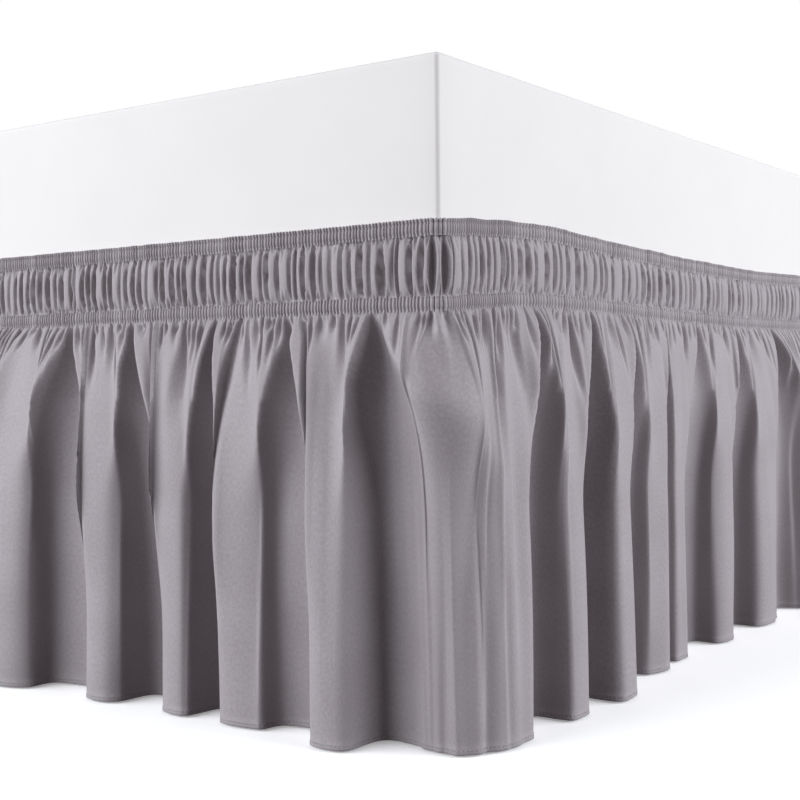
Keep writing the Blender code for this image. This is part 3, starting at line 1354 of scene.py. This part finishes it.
@dataclass
class Drop(ClothRound):
    """The drop, from the lower elastic down to its narrow stitched hem."""

    far_rows: int = 28
    # A crest comes out over a length that grows with how far out it stands at the hem.
    growth: float = 50 * MM
    growth_per_out: float = 1.2
    # A valley starts as a slit, each side of it this share of a flank, and opens further down.
    valley_start: float = 0.09
    valley_opens: float = 190 * MM
    crisp_valley_opens: float = 300 * MM
    inward_from: float = 45 * MM
    inward_over: float = 200 * MM
    puff: float = 2.5 * MM
    puff_length: float = 6 * MM
    valley_floor: float = 1.0 * MM
    valley_sinks: float = 9 * MM
    off_wall: float = 4.0 * MM
    off_wall_over: float = 100 * MM
    most_inward: float = -50 * MM
    # The mattress ends a little over 30 mm below the elastic. Down to here the cloth stays outside it.
    kept_outside: float = 50 * MM
    sway_length: float = 70 * MM
    pleat_pitch: float = 7.8 * MM
    pleat_stand: float = 8 * MM
    pleat_start: float = 2 * MM
    waves: int = 9
    crease_pitch: float = 24 * MM
    hem_clearance: float = 2.0 * MM
    hem_depth: float = 5.0 * MM
    stitch_pitch: float = 3.8 * MM
    stitch_length: float = 2.6 * MM
    stitch_radius: float = 0.4 * MM
    stitches_below: float = 1.3 * MM

    def row_places(self) -> tuple[np.ndarray, int]:
        """How far below the lower band the drop's rings are, and how many of them are finer."""
        near = np.array([0, 1.5, 3, 5, 7, 9.5, 12, 15, 18, 22, 26, 30, 35, 40, 46, 52, 59, 66, 74]) * MM
        last = self.drop_height - self.hem_clearance - self.hem_depth
        far = np.linspace(82 * MM, last - 6 * MM, self.far_rows)
        return np.concatenate([near, far, [last]]), len(near)

    def fold(self, place: np.ndarray, below: np.ndarray) -> tuple[np.ndarray, np.ndarray]:
        """Hangs the drop in its deep folds.

        Args:
            place: The columns' places at the elastic.
            below: The rows' distances below the lower band.

        Returns:
            For each row and column, its place round the mattress and its distance out.
        """
        flank = self.plan.flank(place)
        i, climb = flank["number"], flank["climb"]
        v = below[:, None]
        spread = np.random.default_rng(self.seed + 8).uniform(0.85, 1.15, len(self.plan.top))
        growth = (self.growth + self.growth_per_out * np.abs(self.plan.out)) * spread
        mix = np.where(i % 2 == 0, 1 - climb, climb)
        length = growth[i] * (1 - mix) + growth[i + 1] * mix
        share = (1 - np.exp(-v / length)) / (1 - np.exp(-self.drop_height / length))
        # A valley starts as a slit, and on the listed foot end one side of it opens more slowly.
        middle = (self.plan.hem[i] + self.plan.hem[i + 1]) / 2
        crisp = (i % 2 == 1) & (middle < 0) & (middle > FOLDS_MM[0].crest_at * MM)
        opened = smooth(v / np.where(crisp, self.crisp_valley_opens, self.valley_opens))
        level = smooth(climb / (self.valley_start + (1 - self.valley_start) * opened))
        joint = self.stand + JOINT_OUT_MM * MM
        crest = joint + self.puff * (1 - np.exp(-v / self.puff_length)) + flank["crest"] * share
        valley = self.valley_floor + (joint - self.valley_floor) * np.exp(-v / self.valley_sinks)
        valley = valley + self.off_wall * smooth(v / self.off_wall_over)
        valley = valley + flank["valley"] * smooth((v - self.inward_from) / self.inward_over)
        out = valley + (crest - valley) * level + self.joint_relief(place, v)
        sway = (1 - np.exp(-v / self.sway_length)) / (1 - math.exp(-self.drop_height / self.sway_length))
        return place + (flank["hem"] - place) * sway, out

    def all_pleats(self) -> list[Pleat]:
        """Every pleat under the lower elastic, in metres: the listed ones, and small ones between them."""
        pleats = [pleat.in_metres() for pleat in PLEATS_MM]
        taken = np.array([pleat.at for pleat in pleats])
        valleys = self.plan.top[1::2]
        rng = np.random.default_rng(self.seed + 9)
        listed = (FOLDS_MM[0].valley_top * MM, FOLDS_MM[-1].valley_top * MM)
        for at in self.uneven(self.pleat_pitch, 0.28, seed=10, stand=self.pleat_stand)[1:-1]:
            draw = rng.uniform(size=5)
            if np.abs(valleys - at).min() < 5 * MM or np.abs(taken - at).min() < 4.5 * MM:
                continue
            length = (13 + 24 * draw[0]) * MM
            seen = listed[0] < at < listed[1]
            if draw[1] > 0.82 and not seen:
                length = (60 + 160 * draw[2]) * MM
            elif draw[1] > 0.5:
                length = (30 + 60 * draw[2]) * MM
            depth = (5.0 + 3.5 * draw[3]) * MM
            half = (2.4 + 1.9 * draw[4]) * MM
            pleats.append(Pleat(float(at), length, depth, half, (draw[2] - 0.5) * 10 * MM))
        return pleats

    def carve_pleats(self, hung: HungCloth) -> None:
        """Cuts every pleat into the drop.

        Args:
            hung: The drop, which gets them.
        """
        place, below, out = hung
        for pleat in self.all_pleats():
            near_side, far_side = 1 / (1 + min(pleat.lap, 0.0)), 1 / (1 - max(pleat.lap, 0.0))
            span = pleat.half_width * 1.6 + abs(pleat.lean)
            v = below[: int(np.searchsorted(below, pleat.length)), None]
            gone = v / pleat.length
            half = pleat.half_width * (0.45 + 0.75 * smooth(2.2 * gone))
            deep = pleat.depth * (1 - np.exp(-v / self.pleat_start)) * (1 - smooth(gone * 1.3 - 0.3))
            for middle in (pleat.at, pleat.at + self.girth.total):
                a, b = np.searchsorted(place, [middle - span, middle + span])
                x = (place[None, a:b] - middle - pleat.lean * gone) / half
                x = np.abs(x) * np.where(x > 0, far_side, near_side)
                shape = 1 - smooth(x) if pleat.depth > 0 else np.clip(1 - x, 0, 1) ** 1.5
                out[: len(v), a:b] -= deep * shape

    def undulate(self, hung: HungCloth) -> None:
        """Adds the slight, long, upright unevenness of hanging cloth.

        Args:
            hung: The drop, which gets them.
        """
        place, below, out = hung
        rng = np.random.default_rng(self.seed + 12)
        fade = smooth(below[:, None] / (70 * MM))
        for _ in range(self.waves):
            waves = round(self.girth.total / rng.uniform(0.022, 0.075))
            phase, bend = rng.uniform(0, 2 * math.pi), rng.uniform(-9, 9)
            size = rng.uniform(0.3, 0.75) * MM
            angle = 2 * math.pi * waves * place[None, :] / self.girth.total
            out += size * fade * np.sin(angle + phase + bend * below[:, None] / 0.38)

    def crease(self, hung: HungCloth) -> None:
        """Adds long faint ridges, each with a crisp line, as folded cloth keeps them.

        Args:
            hung: The drop, which gets them.
        """
        place, below, out = hung
        rng = np.random.default_rng(self.seed + 14)
        v = below[:, None]
        for at in self.uneven(self.crease_pitch, 0.4, seed=15)[1:-1]:
            height, half = rng.uniform(1.0, 3.0) * MM, rng.uniform(3.0, 9.0) * MM
            start, length = rng.uniform(0.0, 0.12), rng.uniform(0.12, 0.5)
            lean = rng.uniform(-12, 12) * MM
            a, b = np.searchsorted(place, [at - half - abs(lean), at + half + abs(lean)])
            x = np.abs(place[None, a:b] - at - lean * (v - start) / 0.4) / half
            along = np.clip((v - start) / length, 0, 1)
            out[:, a:b] += height * np.sin(math.pi * along) * np.clip(1 - x, 0, 1) ** 1.4

    def build(self) -> Strip:
        """Builds the drop and its hem.

        Returns:
            The drop's cloth.
        """
        middle = self.columns[::2]
        below, fine = self.row_places()
        moved, out = self.fold(middle, below)
        hung = HungCloth(middle, below, out)
        self.undulate(hung)
        self.crease(hung)
        self.carve_pleats(hung)
        least = np.where(below < self.kept_outside, self.least_out, self.most_inward)
        out = np.maximum(out, least[:, None])
        top = self.lower_edge(middle)[None, :]
        bottom = self.hem_clearance + self.hem_depth
        z = top + (bottom - top) * (below / below[-1])[:, None]
        points, places = self.on_wall(moved, out, z), self.cloth_places(middle, z)
        rings = [points[row] if row < fine else points[row, ::2] for row in range(len(below))]
        cloth = [places[row] if row < fine else places[row, ::2] for row in range(len(below))]
        edge = self.lower_edge(self.columns)
        joint = self.stand + JOINT_OUT_MM * MM + self.joint_relief(self.columns, 0.0)
        rings[0] = self.on_wall(self.columns, joint, edge)
        cloth[0] = self.cloth_places(self.columns, edge)
        self.build_stitches(rings[-1])
        self.turn_hem(rings, cloth)
        return Strip(rings, cloth)

    def turn_hem(self, rings: list[np.ndarray], cloth: list[np.ndarray]) -> None:
        """Adds the rings of the narrow hem: out over its fold, round the edge and up behind.

        Args:
            rings: The drop's rings, which get the hem's.
            cloth: Their cloth places, which get the hem's.
        """
        rows_mm = [
            HemRow(0.6, 0.35, 0.10),
            HemRow(1.2, -0.10, 0.05),
            HemRow(2.6, 0.40, 0.15),
            HemRow(4.6, 0.45, 0.20),
            HemRow(5.0, 0.00, 0.20),
            HemRow(4.6, -0.60, 0.10),
            HemRow(1.0, -0.70, 0.00),
        ]
        base, places = rings[-1], cloth[-1]
        outward = outward_of(np.gradient(base, axis=0))
        rng = np.random.default_rng(self.seed + 13)
        ripple = np.convolve(rng.normal(0, 1, len(base)), [0.25, 0.5, 0.25], "same")
        for row in rows_mm:
            ring, place = base.copy(), places.copy()
            ring += outward * ((row.out + row.ripple * ripple) * MM)[:, None]
            ring[:, 2] -= row.below * MM
            place[:, 1] = ring[:, 2]
            rings.append(ring)
            cloth.append(place)

    def build_stitches(self, base: np.ndarray) -> None:
        """Builds the hem's stitches, one short pointed thread after another.

        Args:
            base: The ring of points at the top of the hem.
        """
        steps = np.linalg.norm(np.diff(base, axis=0), axis=1)
        run = np.concatenate([[0.0], np.cumsum(steps)])
        middle = np.arange(0.5 * self.stitch_pitch, run[-1], self.stitch_pitch)
        half = 0.5 * self.stitch_length
        ends = [[np.interp(at, run, axis) for axis in base.T] for at in (middle - half, middle + half)]
        heads, tails = (np.stack(end, axis=-1) for end in ends)
        outward = outward_of(tails - heads)
        up = np.array([0.0, 0.0, 0.95])
        heart = (heads + tails) / 2 + outward * 0.25 * MM
        ring = [heart + side * self.stitch_radius for side in (outward, up, -outward, -up)]
        points = np.stack([heads, *ring, tails], axis=1) - np.array([0.0, 0.0, self.stitches_below])
        count = len(ring)
        around = [(1 + i, 1 + (i + 1) % count) for i in range(count)]
        faces = [(0, b, a) for a, b in around] + [(count + 1, a, b) for a, b in around]
        whole = np.arange(len(points))[:, None, None] * (count + 2) + np.array(faces)
        mesh = bpy.data.meshes.new("hem_stitches")
        mesh.from_pydata(points.reshape(-1, 3).tolist(), [], whole.reshape(-1, 3).tolist())
        mesh.shade_smooth()
        mesh.materials.append(SpunThread().build())
        piece = add_object("hem_stitches", mesh)
        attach(piece, "root")
        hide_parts("skirt")
        log.info("hem_stitches: %d stitches", len(points))


@dataclass
class Skirt:
    """The skirt: its two shirred bands, the puffed heading between them, and the drop."""

    bands: ShirredBands = field(default_factory=ShirredBands)
    heading: Heading = field(default_factory=Heading)
    drop: Drop = field(default_factory=Drop)

    def build(self) -> None:
        cloth = BrushedMicrofibre().build()
        heading = self.heading
        between_bands = heading.heading_height - heading.top_band_height - heading.lower_band_height
        with_hem = self.drop.drop_height + 2 * self.drop.hem_depth
        lengths = {
            "skirt_top_band": (self.bands.build_top(), self.bands.top_band_height),
            "skirt_lower_band": (self.bands.build_lower(), self.bands.lower_band_height),
        }
        for name, strip in self.heading.halves(self.heading.build()).items():
            lengths[f"skirt_heading_{name}"] = (strip, between_bands)
        for name, strip in self.drop.halves(self.drop.build()).items():
            lengths[f"skirt_drop_{name}"] = (strip, with_hem)
        for name, (strip, height) in lengths.items():
            piece = strip.build(name)
            piece.data.materials.append(cloth)
            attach(piece, "root")
            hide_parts("skirt")


@dataclass
class MattressBlock:
    """The white block that the skirt grips, a little soft at its edges."""

    edge: float = 4 * MM
    crown: float = 2 * MM
    grid: int = 60
    segments: int = 6

    def build(self) -> bpy.types.Object:
        """Builds the block in the place of its solid.

        Returns:
            The block.
        """
        low, high = (Vector(corner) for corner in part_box("mattress"))
        size = high - low
        mesh = bpy.data.meshes.new("mattress_block")
        work = bmesh.new()
        bmesh.ops.create_cube(work, size=1.0, matrix=Matrix.Diagonal((*size, 1.0)))
        edges = work.edges[:]
        bmesh.ops.bevel(
            work, geom=edges, offset=self.edge, segments=self.segments, profile=0.5, affect="EDGES"
        )
        cuts = [edge for edge in work.edges if edge.calc_length() > 10 * self.edge]
        bmesh.ops.subdivide_edges(work, edges=cuts, cuts=self.grid, use_grid_fill=True)
        for vertex in work.verts:
            x, y = vertex.co.x / size.x * 2, vertex.co.y / size.y * 2
            if vertex.co.z > size.z / 2 - 1e-5:
                vertex.co.z += self.crown * (1 - x**4) * (1 - y**4)
        work.to_mesh(mesh)
        work.free()
        mesh.shade_smooth()
        block = add_object("mattress_block", mesh)
        block.location = (low + high) / 2
        mesh.materials.append(BleachedCover().build())
        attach(block, "root")
        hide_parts("mattress")
        return block


@dataclass
class BedBase:
    """The timber deck, rails and legs that the skirt hides."""

    rail_names: tuple[str, ...] = ("rail_foot", "rail_middle", "rail_head")
    grain: PlanedPine = field(default_factory=PlanedPine)

    def build(self) -> None:
        """Dresses the base's solids in pine, each with its grain along it."""
        along_x, along_y, along_z = (self.grain.build(axis) for axis in range(3))
        for name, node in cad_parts.items():
            if name == "deck":
                self.dress(node, along_y)
            elif name in self.rail_names:
                self.dress(node, along_x)
            elif name.startswith("leg_"):
                self.dress(node, along_z)

    def dress(self, node: bpy.types.Object, material: bpy.types.Material) -> None:
        """Gives a solid its material."""
        for slot in node.material_slots:
            slot.material = material


def main() -> None:
    """Builds the camera, the studio, the bed and its skirt in order."""
    logging.basicConfig(level=logging.INFO, format="%(name)s: %(message)s")
    PhotoCamera().build()
    log.info("camera placed")
    Studio().build()
    log.info("studio lit")
    BedBase().build()
    log.info("bed base dressed")
    MattressBlock().build()
    log.info("mattress built")
    Skirt().build()
    log.info("skirt built")


if __name__ == "__main__":
    main()
